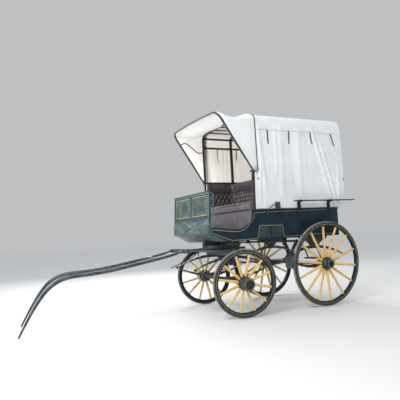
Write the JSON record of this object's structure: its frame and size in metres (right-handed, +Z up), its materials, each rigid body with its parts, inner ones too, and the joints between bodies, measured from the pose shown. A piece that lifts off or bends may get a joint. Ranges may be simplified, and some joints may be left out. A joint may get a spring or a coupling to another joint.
{
  "type": "horse-drawn omnibus",
  "caption": "Horse-drawn covered wagonette omnibus: spoked wheels on leaf springs, canvas tilt, folding front hood, buttoned driver's seat, benches, rear door and hinged shafts.",
  "frame": {"origin": "on the ground, midway along the carriage's length with its shafts resting on the ground, on its centre plane", "axes": "+Z up, -X towards the front where the horse stands, -Y the carriage's left side as it is seen in the picture"},
  "size_m": [4.5134, 1.8298, 2.6533],
  "materials": {
    "brown_leather": "plain worn leather",
    "floor_boards": "dull stained boards",
    "body_paint": "dark blue-green coach paint, satin gloss",
    "undercarriage_paint": "dark slate-green paint",
    "black_iron": "black-painted iron",
    "white_canvas": "cool white cotton canvas",
    "worn_dash_paint": "worn grey-green paint",
    "bright_steel": "worn bright",
    "yellow_spoke_paint": "golden yellow gloss paint",
    "grey_rubber": "solid rubber, worn brownish grey",
    "dark_bow_wood": "dark stained",
    "dark_buttoned_leather": "buttoned and worn"
  },
  "bodies": {
    "carriage": {"bench_cushion_left": "brown_leather", "bench_cushion_right": "brown_leather", "bench_left": "floor_boards", "bench_right": "floor_boards", "body_side_left": "body_paint", "body_side_right": "body_paint", "brake_block_left": "undercarriage_paint", "brake_block_right": "undercarriage_paint", "brake_gear": "black_iron", "canvas_left": "white_canvas", "canvas_rear": "white_canvas", "canvas_right": "white_canvas", "canvas_roof": "white_canvas", "dash": "worn_dash_paint", "dash_rail_left": "bright_steel", "dash_rail_right": "bright_steel", "floor": "floor_boards", "lamp_socket_left": "black_iron", "lamp_socket_right": "black_iron", "rear_axle": "black_iron", "rear_block_left": "undercarriage_paint", "rear_block_right": "undercarriage_paint", "rear_panel": "body_paint", "rear_spring_left": "black_iron", "rear_spring_right": "black_iron", "rear_step": "black_iron", "seat_back": "brown_leather", "seat_box": "brown_leather", "seat_cushion": "brown_leather", "seat_upholstery": "dark_buttoned_leather", "side_rail_left": "body_paint", "side_rail_right": "body_paint", "tilt_frame": "dark_bow_wood", "toe_board": "worn_dash_paint", "upper_turntable": "undercarriage_paint"},
    "fore_gear": {"fore_frame": "undercarriage_paint", "splinter_bar": "undercarriage_paint", "front_axle": "black_iron", "front_spring_left": "black_iron", "front_spring_right": "black_iron"},
    "shafts": {"shafts": "undercarriage_paint"},
    "front_left_wheel": {"front_left_nave": "black_iron", "front_left_spokes": "yellow_spoke_paint", "front_left_tyre": "grey_rubber"},
    "front_right_wheel": {"front_right_nave": "black_iron", "front_right_spokes": "yellow_spoke_paint", "front_right_tyre": "grey_rubber"},
    "rear_left_wheel": {"rear_left_nave": "black_iron", "rear_left_spokes": "yellow_spoke_paint", "rear_left_tyre": "grey_rubber"},
    "rear_right_wheel": {"rear_right_nave": "black_iron", "rear_right_spokes": "yellow_spoke_paint", "rear_right_tyre": "grey_rubber"},
    "hood": {"hood_hoop": "dark_bow_wood", "hood_canvas": "white_canvas"},
    "door": {"rear_door": "body_paint"}
  },
  "joints": [
    {"name": "steering", "type": "hinge", "parent": "carriage", "child": "fore_gear", "pos_m": [0.44269, 0, 0], "axis": [0, 0, 1], "range_deg": [-16.8, 33.2]},
    {"name": "shaft_lift", "type": "hinge", "parent": "fore_gear", "child": "shafts", "pos_m": [-0.20414, 0.09313, 0.85799], "axis": [0.1425, 0.9898, 0], "range_deg": [0, 35]},
    {"name": "front_left_wheel_spin", "type": "hinge", "parent": "fore_gear", "child": "front_left_wheel", "pos_m": [0.33296, -0.76214, 0.42989], "axis": [-0.1423, -0.988, -0.06], "continuous": true},
    {"name": "front_right_wheel_spin", "type": "hinge", "parent": "fore_gear", "child": "front_right_wheel", "pos_m": [0.55243, 0.76214, 0.42989], "axis": [0.1423, 0.988, -0.06], "continuous": true},
    {"name": "rear_left_wheel_spin", "type": "hinge", "parent": "carriage", "child": "rear_left_wheel", "pos_m": [1.67269, -0.77, 0.57962], "axis": [0, -0.9982, -0.06], "continuous": true},
    {"name": "rear_right_wheel_spin", "type": "hinge", "parent": "carriage", "child": "rear_right_wheel", "pos_m": [1.67269, 0.77, 0.57962], "axis": [0, 0.9982, -0.06], "continuous": true},
    {"name": "hood_fold", "type": "hinge", "parent": "carriage", "child": "hood", "pos_m": [0.60769, 0, 1.857], "axis": [0, 1, 0], "range_deg": [0, 30], "deforming": ["hood_canvas"]},
    {"name": "door_swing", "type": "hinge", "parent": "carriage", "child": "door", "pos_m": [2.02069, 0.2753, 1.17], "axis": [0, 0, 1], "range_deg": [0, 100]}
  ]
}
